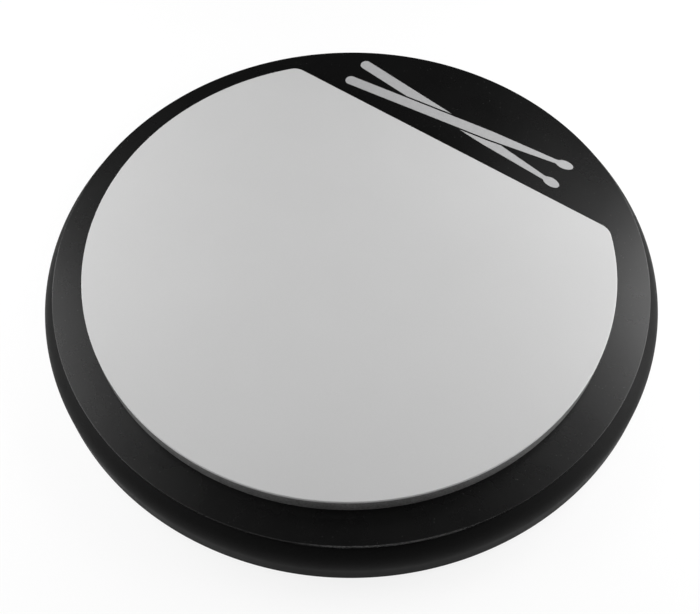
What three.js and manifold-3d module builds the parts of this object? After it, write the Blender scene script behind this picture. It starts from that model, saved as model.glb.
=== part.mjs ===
// A ten-inch drum practice pad, in millimetres.
// Frame: +Z up, origin at the centre of the underside, on the surface that the pad stands on.
// +Y points from the centre to the straight edge of the playing pad and the emblem beyond it.
// The pad is a bonded stack, from the bottom: grip sheet, board, deck, rubber pad, playing skin.
// A flanged, threaded bush screwed into the board's underside takes a stand's rod.

import * as THREE from 'three';
import { mergeVertices } from 'three/addons/utils/BufferGeometryUtils.js';
import Module from 'manifold-3d';

const wasm = await Module();
wasm.setup();

// Thicknesses in the stack. They are whole eighths, so faces that touch share one exact height.
const FILM_THICK = 0.125;
const GRIP_THICK = 2;
const BOARD_THICK = 18;
const DECK_THICK = 1.5;
const RUBBER_THICK = 6.375;
const SKIN_THICK = 1.125;
const INK_THICK = 0.125;

// Round layers.
const BOARD_RADIUS = 127;
const BOARD_TOP_ROUND = 8.75;
const BOARD_FOOT_ROUND = 2;
const DECK_RADIUS = 121.75;
const GRIP_RADIUS = 121;
const GRIP_HOLE_RADIUS = 18;
const FILM_INSET = 1.5;
const DECK_FILM_RADIUS = 117.25;

// The playing pad: a disc cut by a chord, with rounded corners, set a little back from the chord's side.
const PAD_RADIUS = 107.5;
const PAD_CHORD = 71.25;
const PAD_CORNER = 7;
const PAD_SHIFT_Y = -1.25;

// The stand bush, its seat in the board, and its screws.
const SEAT_RADIUS = 12;
const SEAT_DEPTH = 2.5;
const FLANGE_RADIUS = 11.5;
const FLANGE_THICK = 2;
const BARREL_RADIUS = 5.5;
const BARREL_LENGTH = 10;
const THREAD_RADIUS = 3.375;
const BORE_GAP = 0.5;
const SCREW_COUNT = 3;
const SCREW_CIRCLE = 8.5;
const SCREW_SHANK = 1.1;
const SCREW_LENGTH = 11;
const SCREW_TIP = 2;
const SCREW_GAP = 0.3;
const HEAD_RADIUS = 2.3;
const RECESS_WIDTH = 0.6;
const RECESS_SPAN = 2.4;
const RECESS_DEPTH = 0.8;

// The printed emblem: two drumsticks that cross at a shallow angle.
const EMBLEM_X = -6;
const EMBLEM_Y = 90;
const STICK_LENGTH = 114;
const STICK_TILT = THREE.MathUtils.degToRad(6.5);
const STICK_HALF = 2.6;
const STICK_NECK = 1.1;
const STICK_TAPER = 32;
const STICK_BEAD_HALF = 2.3;
const STICK_BEAD_LENGTH = 8;
const STICK_BEAD_SWEEP = THREE.MathUtils.degToRad(144);

// Facets.
const ROUND_STEPS = 96;
const BUSH_STEPS = 48;
const SCREW_STEPS = 32;
const FILLET_STEPS = 8;
const FOOT_STEPS = 4;
const BUTT_STEPS = 8;
const BEAD_STEPS = 16;

// Surfaces.
const GRIP_RUBBER = { color: 0x1a1a1a, roughness: 0.9 };
const ADHESIVE = { color: 0xd8cfae, roughness: 0.5 };
const LACQUER = { color: 0x141414, roughness: 0.45 };
const BUSH_STEEL = { color: 0xb9bcc0, roughness: 0.35, metalness: 1 };
const SCREW_STEEL = { color: 0x9a9da1, roughness: 0.3, metalness: 1 };
const DECK_PLASTIC = { color: 0x1b1b1c, roughness: 0.5 };
const PAD_RUBBER = { color: 0x7a7a7b, roughness: 0.8 };
const SKIN_COATING = { color: 0xc9c9c8, roughness: 0.62 };
const INK = { color: 0xb0b0b0, roughness: 0.6 };

const GRIP_FILM_Z = GRIP_THICK;
const BOARD_Z = GRIP_FILM_Z + FILM_THICK;
const DECK_FILM_Z = BOARD_Z + BOARD_THICK;
const DECK_Z = DECK_FILM_Z + FILM_THICK;
const PAD_FILM_Z = DECK_Z + DECK_THICK;
const RUBBER_Z = PAD_FILM_Z + FILM_THICK;
const SKIN_Z = RUBBER_Z + RUBBER_THICK;
const SEAT_Z = BOARD_Z + SEAT_DEPTH;
const FLANGE_Z = SEAT_Z - FLANGE_THICK;

const QUARTER = Math.PI / 2;

function arc(x, y, radius, from, to, steps) {
  const points = [];
  for (let i = 0; i <= steps; i++) {
    const angle = from + ((to - from) * i) / steps;
    points.push(new THREE.Vector2(x + radius * Math.cos(angle), y + radius * Math.sin(angle)));
  }
  return points;
}

function corner(radius, height) {
  return new THREE.Vector2(radius, height);
}

// Turns a profile of (radius, height) points about the Z axis.
function turned(profile, steps = ROUND_STEPS) {
  return new THREE.LatheGeometry(profile, steps).rotateX(QUARTER);
}

function plate(shape, thickness) {
  return new THREE.ExtrudeGeometry(shape, { depth: thickness, bevelEnabled: false });
}

function solid(geometry) {
  const bare = geometry.clone();
  bare.deleteAttribute('normal');
  bare.deleteAttribute('uv');
  const merged = mergeVertices(bare);
  const vertProperties = new Float32Array(merged.attributes.position.array);
  const triVerts = new Uint32Array(merged.index.array);
  return new wasm.Manifold(new wasm.Mesh({ numProp: 3, vertProperties, triVerts }));
}

function fromSolid(body) {
  const mesh = body.getMesh();
  const geometry = new THREE.BufferGeometry();
  geometry.setAttribute('position', new THREE.BufferAttribute(mesh.vertProperties, 3));
  geometry.setIndex(new THREE.BufferAttribute(mesh.triVerts, 1));
  return geometry;
}

function cut(geometry, tools) {
  const body = tools.reduce((rest, tool) => rest.subtract(solid(tool)), solid(geometry));
  return fromSolid(body);
}

function ringProfile(inner, outer, thickness) {
  const start = corner(inner, 0);
  return [start, corner(outer, 0), corner(outer, thickness), corner(inner, thickness), start.clone()];
}

function discProfile(radius, thickness) {
  return [corner(0, 0), corner(radius, 0), corner(radius, thickness), corner(0, thickness)];
}

function screwPlaces() {
  return Array.from({ length: SCREW_COUNT }, (_, i) => {
    const angle = QUARTER + (i * 2 * Math.PI) / SCREW_COUNT;
    return [SCREW_CIRCLE * Math.cos(angle), SCREW_CIRCLE * Math.sin(angle)];
  });
}

// One countersunk drill per screw. z = 0 is the flange's lower face, and the gap is all round the screw.
function screwDrills() {
  const hole = SCREW_SHANK + SCREW_GAP;
  const mouth = HEAD_RADIUS + SCREW_GAP;
  const top = SCREW_LENGTH + SCREW_GAP;
  const profile = [
    corner(0, -BORE_GAP),
    corner(mouth, -BORE_GAP),
    corner(mouth, 0),
    corner(hole, mouth - hole),
    corner(hole, top),
    corner(0, top),
  ];
  const drill = turned(profile, SCREW_STEPS);
  return screwPlaces().map(([x, y]) => drill.clone().translate(x, y, 0));
}

function gripSheet(thickness, inset = 0) {
  return turned(ringProfile(GRIP_HOLE_RADIUS + inset, GRIP_RADIUS - inset, thickness));
}

// The board has a wide rounding above, a small one at its foot, and a stepped seat for the bush.
function board() {
  const boreTop = SEAT_DEPTH + BARREL_LENGTH + BORE_GAP;
  const boreRadius = BARREL_RADIUS + BORE_GAP;
  const footCentre = BOARD_RADIUS - BOARD_FOOT_ROUND;
  const topCentre = BOARD_RADIUS - BOARD_TOP_ROUND;
  const profile = [
    corner(0, boreTop),
    corner(boreRadius, boreTop),
    corner(boreRadius, SEAT_DEPTH),
    corner(SEAT_RADIUS, SEAT_DEPTH),
    corner(SEAT_RADIUS, 0),
    ...arc(footCentre, BOARD_FOOT_ROUND, BOARD_FOOT_ROUND, -QUARTER, 0, FOOT_STEPS),
    ...arc(topCentre, BOARD_THICK - BOARD_TOP_ROUND, BOARD_TOP_ROUND, 0, QUARTER, FILLET_STEPS),
    corner(0, BOARD_THICK),
  ];
  const drills = screwDrills().map((drill) => drill.translate(0, 0, SEAT_DEPTH - FLANGE_THICK));
  return cut(turned(profile), drills);
}

// The flange lies against the board's seat, and the barrel stands up into the bore.
function standBush() {
  const top = FLANGE_THICK + BARREL_LENGTH;
  const start = corner(THREAD_RADIUS, 0);
  const profile = [
    start,
    corner(FLANGE_RADIUS, 0),
    corner(FLANGE_RADIUS, FLANGE_THICK),
    corner(BARREL_RADIUS, FLANGE_THICK),
    corner(BARREL_RADIUS, top),
    corner(THREAD_RADIUS, top),
    start.clone(),
  ];
  return cut(turned(profile, BUSH_STEPS), screwDrills());
}

// A countersunk screw that points up, with the flat of its head at z = 0 and a cross recess in it.
function screw() {
  const profile = [
    corner(0, 0),
    corner(HEAD_RADIUS, 0),
    corner(SCREW_SHANK, HEAD_RADIUS - SCREW_SHANK),
    corner(SCREW_SHANK, SCREW_LENGTH - SCREW_TIP),
    corner(0, SCREW_LENGTH),
  ];
  const slot = new THREE.BoxGeometry(RECESS_SPAN, RECESS_WIDTH, 2 * RECESS_DEPTH);
  return cut(turned(profile, SCREW_STEPS), [slot, slot.clone().rotateZ(QUARTER)]);
}

// A disc of the given radius cut by the chord; the corners are arcs tangent to both.
function padShape(inset = 0) {
  const radius = PAD_RADIUS - inset;
  const chord = PAD_CHORD - inset;
  const y = chord - PAD_CORNER;
  const x = Math.sqrt((radius - PAD_CORNER) ** 2 - y ** 2);
  const lean = Math.atan2(y, x);
  const points = [
    ...arc(-x, y, PAD_CORNER, QUARTER, Math.PI - lean, FILLET_STEPS),
    ...arc(0, 0, radius, Math.PI - lean, 2 * Math.PI + lean, ROUND_STEPS).slice(1),
    ...arc(x, y, PAD_CORNER, lean, QUARTER, FILLET_STEPS).slice(1),
  ];
  return new THREE.Shape(points);
}

function stickShape() {
  const half = STICK_LENGTH / 2;
  const neck = half - STICK_BEAD_LENGTH;
  const butt = arc(-half + STICK_HALF, 0, STICK_HALF, QUARTER, 3 * QUARTER, BUTT_STEPS);
  const bead = new THREE.EllipseCurve(
    neck + STICK_BEAD_LENGTH / 2,
    0,
    STICK_BEAD_LENGTH / 2,
    STICK_BEAD_HALF,
    -STICK_BEAD_SWEEP,
    STICK_BEAD_SWEEP,
  );
  return new THREE.Shape([
    ...butt,
    corner(neck - STICK_TAPER, -STICK_HALF),
    corner(neck, -STICK_NECK),
    ...bead.getPoints(BEAD_STEPS),
    corner(neck, STICK_NECK),
    corner(neck - STICK_TAPER, STICK_HALF),
  ]);
}

function emblem() {
  const stick = plate(stickShape(), INK_THICK);
  const rising = solid(stick.clone().rotateZ(STICK_TILT));
  const falling = solid(stick.clone().rotateZ(-STICK_TILT));
  return fromSolid(rising.add(falling));
}

const practicePad = new THREE.Group();

function place(name, geometry, surface, x, y, z) {
  const mesh = new THREE.Mesh(geometry, new THREE.MeshStandardMaterial(surface));
  mesh.name = name;
  mesh.position.set(x, y, z);
  practicePad.add(mesh);
}

place('grip_sheet', gripSheet(GRIP_THICK), GRIP_RUBBER, 0, 0, 0);
place('grip_film', gripSheet(FILM_THICK, FILM_INSET), ADHESIVE, 0, 0, GRIP_FILM_Z);
place('base_board', board(), LACQUER, 0, 0, BOARD_Z);
place('stand_bush', standBush(), BUSH_STEEL, 0, 0, FLANGE_Z);
screwPlaces().forEach(([x, y], i) => {
  place(`bush_screw_${i + 1}`, screw(), SCREW_STEEL, x, y, FLANGE_Z);
});
place('deck_film', turned(discProfile(DECK_FILM_RADIUS, FILM_THICK)), ADHESIVE, 0, 0, DECK_FILM_Z);
place('deck_plate', turned(discProfile(DECK_RADIUS, DECK_THICK)), DECK_PLASTIC, 0, 0, DECK_Z);
place('pad_film', plate(padShape(FILM_INSET), FILM_THICK), ADHESIVE, 0, PAD_SHIFT_Y, PAD_FILM_Z);
place('rubber_pad', plate(padShape(), RUBBER_THICK), PAD_RUBBER, 0, PAD_SHIFT_Y, RUBBER_Z);
place('playing_skin', plate(padShape(), SKIN_THICK), SKIN_COATING, 0, PAD_SHIFT_Y, SKIN_Z);
place('printed_emblem', emblem(), INK, EMBLEM_X, EMBLEM_Y, PAD_FILM_Z);

export default practicePad;
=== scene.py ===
"""The looks of the drum practice pad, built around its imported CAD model. Lengths are in metres.

The row frame: +Z up, the origin under the pad's centre, +Y towards the pad's straight edge and the emblem."""

import math

import bmesh
import bpy
from mathutils import Matrix, Vector


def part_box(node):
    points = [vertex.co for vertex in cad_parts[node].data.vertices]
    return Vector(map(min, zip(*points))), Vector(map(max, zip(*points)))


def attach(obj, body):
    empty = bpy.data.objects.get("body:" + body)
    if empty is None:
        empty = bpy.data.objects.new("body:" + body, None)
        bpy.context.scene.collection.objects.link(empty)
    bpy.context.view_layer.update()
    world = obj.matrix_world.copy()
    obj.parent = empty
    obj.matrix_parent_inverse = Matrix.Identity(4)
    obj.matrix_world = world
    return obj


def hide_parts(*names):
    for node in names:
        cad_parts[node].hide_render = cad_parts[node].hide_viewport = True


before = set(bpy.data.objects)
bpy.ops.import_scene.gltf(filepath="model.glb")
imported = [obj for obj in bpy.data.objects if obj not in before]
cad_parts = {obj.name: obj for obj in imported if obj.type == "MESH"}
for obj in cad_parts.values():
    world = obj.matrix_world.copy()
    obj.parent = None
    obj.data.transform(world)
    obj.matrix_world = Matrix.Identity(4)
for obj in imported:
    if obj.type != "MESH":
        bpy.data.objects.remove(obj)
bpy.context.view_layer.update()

MM = 0.001
TURN = 2 * math.pi
RIGHT_ANGLE = math.pi / 2
ON_AXIS = 1e-7

# Facets of the fine meshes.
ROUND_STEPS = 360
GRIP_STEPS = 160
BUSH_STEPS = 96
SCREW_STEPS = 48
DRILL_STEPS = 32
CORNER_STEPS = 16
CHORD_STEPS = 24

# Shapes that the CAD boxes don't give.
BOARD_TOP_ROUND = 8.75 * MM
BOARD_FOOT_ROUND = 2 * MM
BOARD_ARRIS = 0.3 * MM
SEAT_RADIUS = 12 * MM
SEAT_DEPTH = 2.5 * MM
BORE_RADIUS = 6 * MM
BORE_DEPTH = 13 * MM
PAD_CORNER = 7 * MM
GRIP_HOLE_RADIUS = 18 * MM

# The drumsticks of the emblem.
STICK_LENGTH = 114 * MM
STICK_HALF = 2.6 * MM
STICK_NECK = 1.1 * MM
STICK_TAPER = 32 * MM
BEAD_HALF = 2.3 * MM
BEAD_LENGTH = 8 * MM
BEAD_SWEEP = 0.82 * math.pi
STICK_TILT = math.radians(6.5)
STICK_GAP = 0.9 * MM
INK_DEPTH = 0.06 * MM

# Where the deck's cut edge is painted a lighter grey, partly as chafing and partly as a painted highlight
# along the edge: the angle about the pad's axis, and how far the lighter edge reaches.
CHAFED_AND_HIGHLIGHT_PLACES = (
    (math.radians(312), 36 * MM),
    (math.radians(218), 16 * MM),
    (math.radians(41), 30 * MM),
)

# Camera, measured from the deck's centre: across the view and towards the camera.
CAMERA_AZIMUTH = math.radians(36.05)
CAMERA_BACK = 237.0 * MM
CAMERA_RISE = 332.6 * MM
AIM_ACROSS = -0.5 * MM
AIM_BACK = 23.15 * MM
CAMERA_ROLL = math.radians(-0.594)
SENSOR_WIDTH = 36
LENS = 50.9

# Softboxes: azimuth and elevation in degrees, width in metres, and watts. Azimuth 0 is the camera's side
# and 90 is the view's right.
LIGHT_DISTANCE = 0.38
LIGHTS = {
    "left_box": (-100, 32, 0.3, 0.66),
    "left_high": (-90, 44, 0.2, 0.22),
    "left_low": (-120, 22, 0.2, 0.12),
    "left_side": (-72, 20, 0.2, 0.11),
    "left_back": (-135, 54, 0.2, 0.04),
    "right_box": (104, 32, 0.3, 1.22),
    "right_low": (80, 18, 0.2, 0.35),
    "right_back": (135, 54, 0.2, 0.055),
    "front_fill": (-15, 54, 0.2, 0.1),
}

# The stage.
STAGE_RADIUS = 6.0
FLOOR_GLOW = 0.3
VEIL_HEIGHT = 0.1 * MM
VEIL_GLOW = 0.78
DOME_GLOW = 0.86
DOME_STEPS = 24


# ---------------------------------------------------------------- mesh tools


def link(name, mesh):
    piece = bpy.data.objects.new(name, mesh)
    bpy.context.scene.collection.objects.link(piece)
    return piece


def mesh_piece(name, points, faces):
    """A smooth-shaded piece whose faces all point outwards."""
    mesh = bpy.data.meshes.new(name)
    mesh.from_pydata(points, [], faces)
    work = bmesh.new()
    work.from_mesh(mesh)
    bmesh.ops.recalc_face_normals(work, faces=work.faces)
    for face in work.faces:
        face.smooth = True
    work.to_mesh(mesh)
    work.free()
    return link(name, mesh)


def rounded(corners, hold=0.12 * MM, step=math.radians(9)):
    """A profile of (x, z) points from corners (x, z, radius). Each round corner becomes an arc, with a point
    just before and after it that keeps the flat beside it flat when it is smooth-shaded."""
    profile = []
    last = len(corners) - 1
    for i, (x, z, radius) in enumerate(corners):
        here = Vector((x, z))
        if radius <= 0 or i in (0, last):
            profile.append(here)
            continue
        before = (Vector(corners[i - 1][:2]) - here).normalized()
        after = (Vector(corners[i + 1][:2]) - here).normalized()
        half = before.angle(after) / 2
        reach = radius / math.tan(half)
        centre = here + (before + after).normalized() * radius / math.sin(half)
        start = here + before * reach - centre
        sweep = start.angle_signed(here + after * reach - centre)
        count = max(3, math.ceil(abs(sweep) / step))
        profile.append(centre + start + before * hold)
        for k in range(count + 1):
            profile.append(centre + Matrix.Rotation(-sweep * k / count, 2) @ start)
        profile.append(here + after * (reach + hold))
    return profile


def bridge(ring_a, ring_b):
    """Quads between two rings of vertex numbers, or a fan where one ring is a single vertex."""
    count = max(len(ring_a), len(ring_b))
    faces = []
    for i in range(count):
        j = (i + 1) % count
        quad = [ring[k % len(ring)] for ring, k in ((ring_a, i), (ring_a, j), (ring_b, j), (ring_b, i))]
        faces.append(list(dict.fromkeys(quad)))
    return faces


def stacked(name, rings, closed=False):
    """A piece from rings of points, each joined to the next, and the last to the first if closed."""
    points, numbers = [], []
    for ring in rings:
        numbers.append(list(range(len(points), len(points) + len(ring))))
        points.extend(ring)
    pairs = list(zip(numbers, numbers[1:]))
    if closed:
        pairs.append((numbers[-1], numbers[0]))
    faces = [face for a, b in pairs for face in bridge(a, b)]
    return mesh_piece(name, points, faces)


def circle(radius, z, steps, centre=(0, 0)):
    """A level ring of points, or a single point on the axis."""
    count = steps if radius > ON_AXIS else 1
    angles = [TURN * i / steps for i in range(count)]
    return [(centre[0] + radius * math.cos(a), centre[1] + radius * math.sin(a), z) for a in angles]


def turned(name, profile, steps=ROUND_STEPS, closed=False, centre=(0, 0)):
    """A profile of (radius, height) turned about a vertical axis."""
    return stacked(name, [circle(radius, z, steps, centre) for radius, z in profile], closed)


def arc_points(x, y, radius, start, end, count):
    angles = [start + (end - start) * i / count for i in range(count + 1)]
    return [(x + radius * math.cos(a), y + radius * math.sin(a)) for a in angles]


def carve(piece, *tools):
    """Cuts the tools out of the piece and removes them."""
    for tool in tools:
        cut = piece.modifiers.new("cut", "BOOLEAN")
        cut.operation = "DIFFERENCE"
        cut.solver = "EXACT"
        cut.object = tool
    shape = piece.evaluated_get(bpy.context.evaluated_depsgraph_get())
    mesh = bpy.data.meshes.new_from_object(shape)
    piece.modifiers.clear()
    piece.data = mesh
    for tool in tools:
        bpy.data.objects.remove(tool)


def sharpen(piece, angle=math.radians(30)):
    """Keeps edges steeper than the angle crisp."""
    work = bmesh.new()
    work.from_mesh(piece.data)
    for edge in work.edges:
        edge.smooth = len(edge.link_faces) == 2 and edge.calc_face_angle() < angle
    work.to_mesh(piece.data)
    work.free()


def finish_piece(piece, material, node):
    """Gives the piece its material, hangs it on the root body and hides the CAD node it stands for."""
    piece.data.materials.clear()
    piece.data.materials.append(material)
    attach(piece, "root")
    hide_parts(node)


# ---------------------------------------------------------------- materials


class Recipe:
    """A Principled material, with short calls for the nodes that drive it. Patterns are in the row frame."""

    def __init__(self, name, roughness, metallic=0.0, specular=0.5):
        self.material = bpy.data.materials.new(name)
        self.material.use_nodes = True
        self.tree = self.material.node_tree
        self.shader = self.tree.nodes["Principled BSDF"]
        self.shader.inputs["Roughness"].default_value = roughness
        self.shader.inputs["Metallic"].default_value = metallic
        self.shader.inputs["Specular IOR Level"].default_value = specular
        self.place = self.tree.nodes.new("ShaderNodeTexCoord").outputs["Object"]

    def node(self, kind, **settings):
        made = self.tree.nodes.new(kind)
        for key, value in settings.items():
            setattr(made, key, value)
        return made

    def feed(self, socket, value):
        """Links a socket to another node's output, or sets it to a plain value."""
        if isinstance(value, bpy.types.NodeSocket):
            self.tree.links.new(value, socket)
        else:
            socket.default_value = value

    def stretched(self, x, y, z):
        """The place, with features squeezed by these factors along the axes."""
        made = self.node("ShaderNodeMapping")
        self.feed(made.inputs["Vector"], self.place)
        made.inputs["Scale"].default_value = (x, y, z)
        return made.outputs["Vector"]

    def noise(self, size, detail=2.0, roughness=0.5, where=None):
        """Smooth noise from 0 to 1 whose features are about size metres wide."""
        made = self.node("ShaderNodeTexNoise")
        self.feed(made.inputs["Vector"], where or self.place)
        made.inputs["Scale"].default_value = 1 / size
        made.inputs["Detail"].default_value = detail
        made.inputs["Roughness"].default_value = roughness
        return made.outputs["Fac"]

    def cells(self, size):
        """Distance from the middles of soft cells about size metres wide."""
        made = self.node("ShaderNodeTexVoronoi", feature="SMOOTH_F1")
        self.feed(made.inputs["Vector"], self.place)
        made.inputs["Scale"].default_value = 1 / size
        made.inputs["Smoothness"].default_value = 0.6
        return made.outputs["Distance"]

    def specks(self, spacing, radius):
        """1 inside small round specks of the radius, one in each cell of the spacing, and 0 elsewhere."""
        made = self.node("ShaderNodeTexVoronoi", feature="F1")
        self.feed(made.inputs["Vector"], self.place)
        made.inputs["Scale"].default_value = 1 / spacing
        return self.remap(made.outputs["Distance"], 0.5 * radius / spacing, radius / spacing, 1, 0)

    def reach_from(self, x, y):
        """Distance from the upright line at x and y."""
        flat = self.node("ShaderNodeVectorMath", operation="MULTIPLY")
        self.feed(flat.inputs[0], self.place)
        flat.inputs[1].default_value = (1, 1, 0)
        made = self.node("ShaderNodeVectorMath", operation="DISTANCE")
        self.feed(made.inputs[0], flat.outputs["Vector"])
        made.inputs[1].default_value = (x, y, 0)
        return made.outputs["Value"]

    def remap(self, value, from_low, from_high, to_low, to_high):
        made = self.node("ShaderNodeMapRange")
        keys = ("Value", "From Min", "From Max", "To Min", "To Max")
        for key, number in zip(keys, (value, from_low, from_high, to_low, to_high)):
            self.feed(made.inputs[key], number)
        return made.outputs["Result"]

    def spread(self, noise, low, high):
        """The usual run of a noise, 0.3 to 0.7, spread from low to high."""
        return self.remap(noise, 0.3, 0.7, low, high)

    def math(self, operation, a, b):
        made = self.node("ShaderNodeMath", operation=operation)
        self.feed(made.inputs[0], a)
        self.feed(made.inputs[1], b)
        return made.outputs["Value"]

    def mixed(self, a, b, share):
        """A share of a with the rest of b."""
        return self.math("ADD", self.math("MULTIPLY", a, share), self.math("MULTIPLY", b, 1 - share))

    def shades(self, value, *stops):
        """A colour ramp from (position, grey or colour) stops."""
        made = self.node("ShaderNodeValToRGB")
        self.feed(made.inputs["Fac"], value)
        ramp = made.color_ramp
        while len(ramp.elements) < len(stops):
            ramp.elements.new(1.0)
        for element, (position, colour) in zip(ramp.elements, stops):
            element.position = position
            element.color = (*colour, 1) if isinstance(colour, tuple) else (colour, colour, colour, 1)
        return made.outputs["Color"]

    def blend(self, factor, a, b):
        """Colour a where the factor is 0, and b where it is 1. Sockets 6, 7 and 2 are the colour ones."""
        made = self.node("ShaderNodeMix", data_type="RGBA")
        self.feed(made.inputs["Factor"], factor)
        self.feed(made.inputs[6], a)
        self.feed(made.inputs[7], b)
        return made.outputs[2]

    def bump(self, height, depth, strength, under=None):
        made = self.node("ShaderNodeBump")
        self.feed(made.inputs["Height"], height)
        made.inputs["Distance"].default_value = depth
        made.inputs["Strength"].default_value = strength
        if under is not None:
            self.feed(made.inputs["Normal"], under)
        return made.outputs["Normal"]

    def done(self, colour, roughness=None, normal=None):
        for key, value in (("Base Color", colour), ("Roughness", roughness), ("Normal", normal)):
            if value is not None:
                self.feed(self.shader.inputs[key], value)
        return self.material


def skin_material():
    """A smooth, matt, light grey coating: a very fine grain, faint clouding and a few dull stick marks."""
    r = Recipe("skin_coating", 0.62, specular=0.35)
    clouds = r.noise(60 * MM, 3)
    grain = r.noise(0.5 * MM, 2)
    colour = r.shades(r.mixed(clouds, grain, 0.6), (0.3, (0.58, 0.58, 0.579)), (0.7, (0.61, 0.61, 0.61)))
    marks = r.noise(9 * MM, 5, 0.7)
    return r.done(colour, r.remap(marks, 0.35, 0.65, 0.56, 0.68), r.bump(grain, 0.02 * MM, 0.5))


def rubber_material():
    """Dark grey gum rubber, cut on its sides: mottled, with fine marks along the cut and a dusty bloom."""
    r = Recipe("pad_rubber", 0.8, specular=0.4)
    bloom = r.noise(6 * MM, 4, 0.6)
    crumbs = r.noise(0.9 * MM, 3, 0.65)
    tone = r.mixed(bloom, crumbs, 0.35)
    colour = r.shades(tone, (0.36, (0.108, 0.108, 0.107)), (0.64, (0.22, 0.22, 0.219)))
    cut_marks = r.noise(1 * MM, 3, 0.6, r.stretched(0.15, 0.15, 4))
    normal = r.bump(cut_marks, 0.07 * MM, 0.7, r.bump(crumbs, 0.08 * MM, 0.7))
    return r.done(colour, r.spread(bloom, 0.72, 0.88), normal)


def pebble_normal(r, depth):
    """The fine pebble grain of the deck, for the deck itself and for the ink that lies on it."""
    pebbles = r.cells(0.5 * MM)
    fine = r.noise(0.3 * MM, 2)
    return r.bump(pebbles, depth, 0.7, r.bump(fine, 0.3 * depth, 0.6)), pebbles


def deck_material(radius):
    """Black plastic sheet with a very fine grain, dust in patches, and a cut edge painted a lighter grey in
    places, partly chafing and partly a painted highlight.
    """
    r = Recipe("deck_plastic", 0.3, specular=0.5)
    normal, pebbles = pebble_normal(r, 0.012 * MM)
    plain = r.shades(pebbles, (0.1, 0.005), (0.6, 0.0034))
    patches = r.remap(r.noise(24 * MM, 2), 0.42, 0.58, 0.15, 1)
    dust = r.math("MULTIPLY", r.specks(2 * MM, 0.17 * MM), patches)
    dusty = r.blend(dust, plain, (0.12, 0.12, 0.118, 1))
    # The lighter grey along the cut edge is partly chafing and partly a painted highlight, strongest at the
    # listed places.
    chafed_and_highlight = 0.1
    for angle, reach in CHAFED_AND_HIGHLIGHT_PLACES:
        away = r.reach_from(radius * math.cos(angle), radius * math.sin(angle))
        chafed_and_highlight = r.math("MAXIMUM", chafed_and_highlight, r.remap(away, 0.5 * reach, reach, 1, 0))
    scuffs_and_glints = r.remap(r.noise(1.1 * MM, 3, 0.7), 0.4, 0.6, 0.3, 1)
    rim = r.remap(r.reach_from(0, 0), radius - 0.4 * MM, radius - 0.1 * MM, 0, 1)
    wear_and_highlight = r.math("MULTIPLY", r.math("MULTIPLY", scuffs_and_glints, chafed_and_highlight), rim)
    # Painted highlight and chafing: the rim turns lighter grey where the mask is high.
    colour = r.blend(wear_and_highlight, dusty, (0.08, 0.08, 0.08, 1))
    return r.done(colour, r.spread(r.noise(25 * MM, 4, 0.6), 0.25, 0.3), normal)


def board_material():
    """Satin black lacquer over fibreboard, with faint orange peel and a few dull patches from handling."""
    r = Recipe("board_lacquer", 0.58, specular=0.1)
    peel = r.noise(2.2 * MM, 2)
    handling = r.noise(18 * MM, 4, 0.65)
    dust = r.noise(0.4 * MM, 1)
    colour = r.shades(dust, (0.3, 0.0048), (0.75, 0.0068))
    normal = r.bump(peel, 0.03 * MM, 0.35, r.bump(dust, 0.01 * MM, 0.5))
    return r.done(colour, r.spread(handling, 0.55, 0.62), normal)


def grip_material():
    """Dull black rubber with a fine moulded grain and some grey dust in it."""
    r = Recipe("grip_rubber", 0.9, specular=0.3)
    grain = r.noise(0.5 * MM, 3)
    dust = r.noise(12 * MM, 5, 0.65)
    colour = r.shades(dust, (0.4, 0.014), (0.75, 0.032))
    return r.done(colour, r.spread(grain, 0.82, 0.95), r.bump(grain, 0.06 * MM, 0.8))


def film_material():
    """Amber adhesive film, slightly cloudy."""
    r = Recipe("adhesive_film", 0.4)
    clouds = r.noise(8 * MM, 3)
    colour = r.shades(clouds, (0.3, (0.5, 0.42, 0.26)), (0.7, (0.66, 0.58, 0.4)))
    return r.done(colour, r.spread(clouds, 0.3, 0.5), r.bump(clouds, 0.02 * MM, 0.4))


def steel_material(name, low, high, roughness):
    """Zinc-plated steel with fine turning marks and a slightly blotched plating."""
    r = Recipe(name, roughness, metallic=1.0)
    plating = r.noise(2.5 * MM, 4, 0.6)
    turning = r.noise(0.25 * MM, 2)
    colour = r.shades(plating, (0.3, low), (0.7, high))
    rough = r.spread(plating, roughness - 0.07, roughness + 0.1)
    return r.done(colour, rough, r.bump(turning, 0.012 * MM, 0.5))


def ink_material():
    """Light grey screen-printed ink that follows the pebbles below it and is thin here and there."""
    r = Recipe("emblem_ink", 0.55, specular=0.4)
    normal, pebbles = pebble_normal(r, 0.03 * MM)
    thin = r.noise(1.6 * MM, 4, 0.7)
    tone = r.mixed(pebbles, thin, 0.35)
    colour = r.shades(tone, (0.3, (0.41, 0.41, 0.413)), (0.62, (0.465, 0.465, 0.468)))
    return r.done(colour, r.spread(thin, 0.5, 0.65), normal)


# ---------------------------------------------------------------- the playing pad


def pad_outline(inset, radius, chord):
    """The D-shaped outline, about its circle's centre, moved in by inset. Every inset has the same count."""
    corner = PAD_CORNER - inset
    y = chord - PAD_CORNER
    x = math.sqrt((radius - PAD_CORNER) ** 2 - y**2)
    lean = math.atan2(y, x)
    points = arc_points(-x, y, corner, RIGHT_ANGLE, math.pi - lean, CORNER_STEPS)
    points += arc_points(0, 0, radius - inset, math.pi - lean, TURN + lean, ROUND_STEPS)[1:]
    points += arc_points(x, y, corner, lean, RIGHT_ANGLE, CORNER_STEPS)[1:]
    start = Vector(points[-1])
    step = (Vector(points[0]) - start) / CHORD_STEPS
    points += [tuple(start + step * i) for i in range(1, CHORD_STEPS)]
    return points


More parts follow.
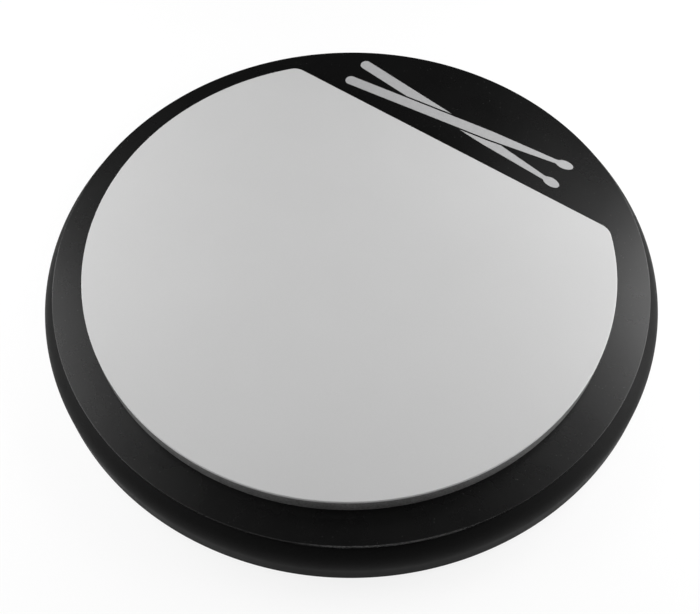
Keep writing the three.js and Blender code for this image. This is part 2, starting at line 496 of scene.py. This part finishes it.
def pad_layer(name, node, profile):
    """A D-shaped layer. The profile runs from the lower face to the upper one, as (inset, height) points."""
    low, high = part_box(node)
    radius = (high.x - low.x) / 2
    centre_y = low.y + radius
    chord = high.y - centre_y
    walls = []
    for inset, z in profile:
        walls.append([(x, y + centre_y, z) for x, y in pad_outline(inset, radius, chord)])

    def shrunk(ring, share):
        return [(x * share, centre_y + (y - centre_y) * share, z) for x, y, z in ring]

    shares = (0.9, 0.7, 0.45, 0.2)
    below = [shrunk(walls[0], share) for share in reversed(shares)]
    above = [shrunk(walls[-1], share) for share in shares]
    return stacked(name, [[(0, centre_y, low.z)], *below, *walls, *above, [(0, centre_y, high.z)]])


def playing_surface():
    low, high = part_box("playing_skin")
    flat = 1 * MM
    corners = [
        (flat, low.z, 0),
        (0, low.z, 0.12 * MM),
        (0, high.z, 0.35 * MM),
        (flat, high.z, 0),
    ]
    piece = pad_layer("playing_surface", "playing_skin", rounded(corners))
    finish_piece(piece, skin_material(), "playing_skin")


def rubber_body():
    """The rubber slab. Its cut side is slightly hollow."""
    low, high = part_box("rubber_pad")
    flat = 1 * MM
    waist = (high.z - low.z) / 2
    corners = [
        (flat, low.z, 0),
        (0, low.z, 0.25 * MM),
        (0.12 * MM, low.z + waist, 8 * MM),
        (0, high.z, 0.2 * MM),
        (flat, high.z, 0),
    ]
    piece = pad_layer("rubber_body", "rubber_pad", rounded(corners))
    finish_piece(piece, rubber_material(), "rubber_pad")


# ---------------------------------------------------------------- the deck, board and grip


def deck_sheet():
    low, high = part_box("deck_plate")
    radius = high.x
    corners = [
        (0, low.z, 0),
        (radius, low.z, 0.15 * MM),
        (radius, high.z, 0.13 * MM),
        (0, high.z, 0),
    ]
    piece = turned("deck_sheet", rounded(corners))
    finish_piece(piece, deck_material(radius), "deck_plate")


def board_body():
    """The board, with its rounded rim and the stepped seat of the stand bush."""
    low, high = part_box("base_board")
    radius = high.x
    corners = [
        (0, low.z + BORE_DEPTH, 0),
        (BORE_RADIUS, low.z + BORE_DEPTH, BOARD_ARRIS),
        (BORE_RADIUS, low.z + SEAT_DEPTH, BOARD_ARRIS),
        (SEAT_RADIUS, low.z + SEAT_DEPTH, BOARD_ARRIS),
        (SEAT_RADIUS, low.z, BOARD_ARRIS),
        (radius, low.z, BOARD_FOOT_ROUND),
        (radius, high.z, BOARD_TOP_ROUND),
        (0, high.z, 0),
    ]
    piece = turned("board_body", rounded(corners, step=math.radians(4)))
    finish_piece(piece, board_material(), "base_board")


def grip_pad():
    """The grip sheet, with shallow ribs under it that end at its lowest face."""
    low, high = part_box("grip_sheet")
    radius = high.x
    pitch, rib, depth, land = 4 * MM, 2.2 * MM, 0.3 * MM, 3 * MM
    slant, soft = 0.2 * MM, 0.1 * MM
    corners = [(GRIP_HOLE_RADIUS, high.z, 0.2 * MM), (GRIP_HOLE_RADIUS, low.z, 0.3 * MM)]
    r = GRIP_HOLE_RADIUS + land
    while r + pitch < radius - land:
        corners += [
            (r, low.z, soft),
            (r + slant, low.z + depth, soft),
            (r + pitch - rib - slant, low.z + depth, soft),
            (r + pitch - rib, low.z, soft),
        ]
        r += pitch
    corners += [(radius, low.z, 0.4 * MM), (radius, high.z, 0.3 * MM)]
    middle = ((GRIP_HOLE_RADIUS + radius) / 2, high.z, 0)
    profile = rounded([middle, *corners, middle], hold=0.05 * MM, step=math.radians(30))[:-1]
    piece = turned("grip_pad", profile, GRIP_STEPS, closed=True)
    finish_piece(piece, grip_material(), "grip_sheet")


# ---------------------------------------------------------------- the stand bush and its screws


def screw_places():
    """Each bush screw's node name and the middle of its box."""
    places = []
    for name in sorted(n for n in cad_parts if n.startswith("bush_screw")):
        low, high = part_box(name)
        places.append((name, (low + high) / 2))
    return places


def threaded(core, crest, pitch, low, high, steps, rows_a_turn=8):
    """Rings of a screw thread between two heights, from its core radius to its crest radius."""
    rows = math.ceil((high - low) / pitch * rows_a_turn)
    rings = []
    for row in range(rows + 1):
        z = low + (high - low) * row / rows
        ring = []
        for i in range(steps):
            angle = TURN * i / steps
            phase = (z / pitch - i / steps) % 1
            rise = min(1.0, max(0.0, 1.5 - 3.4 * abs(phase - 0.5)))
            radius = core + (crest - core) * rise
            ring.append((radius * math.cos(angle), radius * math.sin(angle), z))
        rings.append(ring)
    return rings


def bush():
    """The flanged steel bush: turned outside, threaded inside, and drilled for its screws."""
    low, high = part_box("stand_bush")
    flange = high.x
    barrel = 5.5 * MM
    core, root, pitch = 3.375 * MM, 4.0 * MM, 1.25 * MM
    thick = 2 * MM
    corners = [
        (root + 0.5 * MM, low.z, 0),
        (flange, low.z, 0.3 * MM),
        (flange, low.z + thick, 0.2 * MM),
        (barrel, low.z + thick, 0.3 * MM),
        (barrel, high.z, 0.4 * MM),
        (root + 0.3 * MM, high.z, 0),
    ]
    outside = [circle(radius, z, BUSH_STEPS) for radius, z in rounded(corners, hold=0.05 * MM)]
    inside = threaded(core, root, pitch, low.z + 0.8 * MM, high.z - 0.5 * MM, BUSH_STEPS)
    piece = stacked("threaded_bush", outside + inside[::-1], closed=True)
    head, shank, countersink, beyond = 2.6 * MM, 1.4 * MM, 1.2 * MM, 1 * MM
    through = 2 * thick
    hole = [
        (0, low.z - beyond),
        (head, low.z - beyond),
        (head, low.z),
        (shank, low.z + countersink),
        (shank, low.z + through),
        (0, low.z + through),
    ]
    carve(piece, *(turned("drill", hole, DRILL_STEPS, centre=place.xy) for _, place in screw_places()))
    sharpen(piece)
    material = steel_material("bush_steel", (0.5, 0.51, 0.52), (0.66, 0.67, 0.67), 0.32)
    finish_piece(piece, material, "stand_bush")


def cross_tool(place, z):
    """A tapered cross, wider at its mouth, that cuts a screwdriver's recess."""
    size = Vector((2.5 * MM, 0.62 * MM, 2 * MM))
    taper = 0.45
    arms = []
    for turn in (0, RIGHT_ANGLE):
        work = bmesh.new()
        bmesh.ops.create_cube(work, size=1)
        for vert in work.verts:
            narrow = taper if vert.co.z > 0 else 1.0
            vert.co = Vector((vert.co.x * size.x * narrow, vert.co.y * size.y * narrow, vert.co.z * size.z))
        bmesh.ops.rotate(work, verts=work.verts, matrix=Matrix.Rotation(turn, 3, "Z"))
        bmesh.ops.translate(work, verts=work.verts, vec=(place.x, place.y, z))
        mesh = bpy.data.meshes.new("arm")
        work.to_mesh(mesh)
        work.free()
        arms.append(link("arm", mesh))
    return arms


def screws():
    """The countersunk wood screws, with a thread, a point and a cross recess."""
    material = steel_material("screw_steel", (0.46, 0.47, 0.48), (0.6, 0.61, 0.62), 0.28)
    core, crest, pitch, tip, arris = 0.75 * MM, 1.1 * MM, 0.9 * MM, 2 * MM, 0.1 * MM
    for name, place in screw_places():
        low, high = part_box(name)
        head = (high.x - low.x) / 2
        cone = [
            (0, low.z),
            (0.3 * head, low.z),
            (head - arris, low.z),
            (head, low.z + arris),
            (crest, low.z + head - crest),
        ]
        point = [(0.6 * core, high.z - 0.6 * tip), (0.3 * core, high.z - 0.2 * tip), (0, high.z)]
        rings = [circle(radius, z, SCREW_STEPS) for radius, z in cone]
        rings += threaded(core, crest, pitch, low.z + 1.5 * MM, high.z - tip, SCREW_STEPS)
        rings += [circle(radius, z, SCREW_STEPS) for radius, z in point]
        moved = [[(x + place.x, y + place.y, z) for x, y, z in ring] for ring in rings]
        piece = stacked(f"countersunk_{name[-1]}", moved)
        carve(piece, *cross_tool(place, low.z))
        sharpen(piece)
        finish_piece(piece, material, name)


# ---------------------------------------------------------------- the emblem


def stick_outline(grow=0.0):
    """A drumstick along x, from its butt to the bead at its tip, as a closed outline made fatter by grow."""
    end = STICK_LENGTH / 2
    throat = end - BEAD_LENGTH
    butt = arc_points(-end + STICK_HALF, 0, STICK_HALF + grow, RIGHT_ANGLE, 3 * RIGHT_ANGLE, 20)
    lower = [(throat - STICK_TAPER, -STICK_HALF - grow), (throat, -STICK_NECK - grow)]
    bead = []
    steps = 32
    for i in range(steps + 1):
        a = -BEAD_SWEEP + 2 * BEAD_SWEEP * i / steps
        x = throat + BEAD_LENGTH / 2 * (1 + math.cos(a)) + grow * math.cos(a)
        bead.append((x, (BEAD_HALF + grow) * math.sin(a)))
    return butt + lower + bead + [(x, -y) for x, y in reversed(lower)]


def flat_shape(name, outline, tilt, centre, low, high):
    """A flat plate of the outline, turned by tilt about the centre, between two heights."""
    spin = Matrix.Rotation(tilt, 2)
    flat = [spin @ Vector(p) + Vector(centre) for p in outline]
    count = len(flat)
    points = [(p.x, p.y, low) for p in flat] + [(p.x, p.y, high) for p in flat]
    faces = [[i, (i + 1) % count, count + (i + 1) % count, count + i] for i in range(count)]
    faces += [list(range(count)), list(range(count, 2 * count))]
    piece = mesh_piece(name, points, faces)
    sharpen(piece)
    return piece


def emblem():
    """Two crossed drumsticks in ink. The one behind stops short of the one in front."""
    low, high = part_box("printed_emblem")
    centre = ((low.x + high.x) / 2, (low.y + high.y) / 2)
    top = low.z + INK_DEPTH
    material = ink_material()
    front = flat_shape("emblem_front_stick", stick_outline(), STICK_TILT, centre, low.z, top)
    back = flat_shape("emblem_back_stick", stick_outline(), -STICK_TILT, centre, low.z, top)
    carve(back, flat_shape("gap", stick_outline(STICK_GAP), STICK_TILT, centre, low.z - MM, top + MM))
    sharpen(back)
    for stick in (front, back):
        finish_piece(stick, material, "printed_emblem")


# ---------------------------------------------------------------- camera, floor and light


def towards_camera(across, back, rise):
    """A point from the pad's axis: across the view, towards the camera, and up from the floor."""
    right = Vector((math.cos(CAMERA_AZIMUTH), math.sin(CAMERA_AZIMUTH), 0))
    near = Vector((math.sin(CAMERA_AZIMUTH), -math.cos(CAMERA_AZIMUTH), 0))
    return right * across + near * back + Vector((0, 0, rise))


def add_camera(deck_top):
    data = bpy.data.cameras.new("camera")
    data.sensor_width = SENSOR_WIDTH
    data.lens = LENS
    camera = link("camera", data)
    camera.location = towards_camera(0, CAMERA_BACK, deck_top + CAMERA_RISE)
    aim = towards_camera(AIM_ACROSS, AIM_BACK, deck_top)
    look = (aim - camera.location).to_track_quat("-Z", "Y").to_matrix().to_4x4()
    turn = look @ Matrix.Rotation(CAMERA_ROLL, 4, "Z")
    camera.rotation_euler = turn.to_euler()
    bpy.context.scene.camera = camera


def only_for_camera(thing):
    """Keeps a stage object out of the pad's reflections, shadows and bounced light."""
    for ray in ("diffuse", "glossy", "transmission", "volume_scatter", "shadow"):
        setattr(thing, f"visible_{ray}", False)


def glow(name, strength, see_through=0.0):
    """An even pale glow, which lets part of what is behind it show."""
    material = bpy.data.materials.new(name)
    material.use_nodes = True
    tree = material.node_tree
    tree.nodes.clear()
    light = tree.nodes.new("ShaderNodeEmission")
    light.inputs["Strength"].default_value = strength
    clear = tree.nodes.new("ShaderNodeBsdfTransparent")
    clear.inputs["Color"].default_value = (see_through, see_through, see_through, 1)
    both = tree.nodes.new("ShaderNodeAddShader")
    tree.links.new(light.outputs["Emission"], both.inputs[0])
    tree.links.new(clear.outputs["BSDF"], both.inputs[1])
    tree.links.new(both.outputs["Shader"], tree.nodes.new("ShaderNodeOutputMaterial").inputs["Surface"])
    return material


def floor_material():
    r = Recipe("floor_paint", 0.9, specular=0.0)
    r.shader.inputs["Emission Color"].default_value = (1, 1, 1, 1)
    r.shader.inputs["Emission Strength"].default_value = FLOOR_GLOW
    return r.done(r.shades(r.noise(0.4, 2), (0.3, 0.78), (0.7, 0.8)))


def add_stage():
    """A pale floor, a veil that evens it out, and a pale dome for a backdrop."""
    dome_arc = arc_points(0, 0, STAGE_RADIUS, 0, RIGHT_ANGLE, DOME_STEPS)
    floor = turned("floor", [(STAGE_RADIUS, 0), (0, 0)])
    veil = turned("veil", [(STAGE_RADIUS, VEIL_HEIGHT), (0, VEIL_HEIGHT)])
    dome = turned("dome", dome_arc)
    floor.data.materials.append(floor_material())
    veil.data.materials.append(glow("veil_glow", VEIL_GLOW, 1 - VEIL_GLOW))
    dome.data.materials.append(glow("dome_glow", DOME_GLOW))
    only_for_camera(veil)
    only_for_camera(dome)


def soft_light(name, azimuth, elevation, size, power):
    """A square softbox that faces the pad, and that the camera doesn't see."""
    data = bpy.data.lights.new(name, "AREA")
    data.shape = "SQUARE"
    data.size = size
    data.energy = power
    lamp = link(name, data)
    lamp.visible_camera = False
    a, e = math.radians(azimuth), math.radians(elevation)
    flat = LIGHT_DISTANCE * math.cos(e)
    lamp.location = towards_camera(flat * math.sin(a), flat * math.cos(a), LIGHT_DISTANCE * math.sin(e))
    lamp.rotation_euler = (-lamp.location).to_track_quat("-Z", "Y").to_euler()


def add_walls():
    """The studio's pale walls: bright low down and fading out above."""
    world = bpy.data.worlds.new("studio")
    world.use_nodes = True
    tree = world.node_tree
    background = tree.nodes["Background"]
    height = tree.nodes.new("ShaderNodeSeparateXYZ")
    tree.links.new(tree.nodes.new("ShaderNodeTexCoord").outputs["Generated"], height.inputs["Vector"])
    walls = tree.nodes.new("ShaderNodeMapRange")
    for key, number in (("From Min", 0.25), ("From Max", 0.5), ("To Min", 0.25), ("To Max", 0.02)):
        walls.inputs[key].default_value = number
    tree.links.new(height.outputs["Z"], walls.inputs["Value"])
    tree.links.new(walls.outputs["Result"], background.inputs["Strength"])
    background.inputs["Color"].default_value = (1, 1, 1, 1)
    bpy.context.scene.world = world


def paint_films():
    material = film_material()
    for name in ("grip_film", "deck_film", "pad_film"):
        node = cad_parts[name]
        node.data.materials.clear()
        node.data.materials.append(material)


add_camera(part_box("deck_plate")[1].z)
bpy.context.scene.view_settings.view_transform = "Standard"
playing_surface()
rubber_body()
deck_sheet()
board_body()
grip_pad()
bush()
screws()
emblem()
paint_films()
add_stage()
for name, settings in LIGHTS.items():
    soft_light(name, *settings)
add_walls()
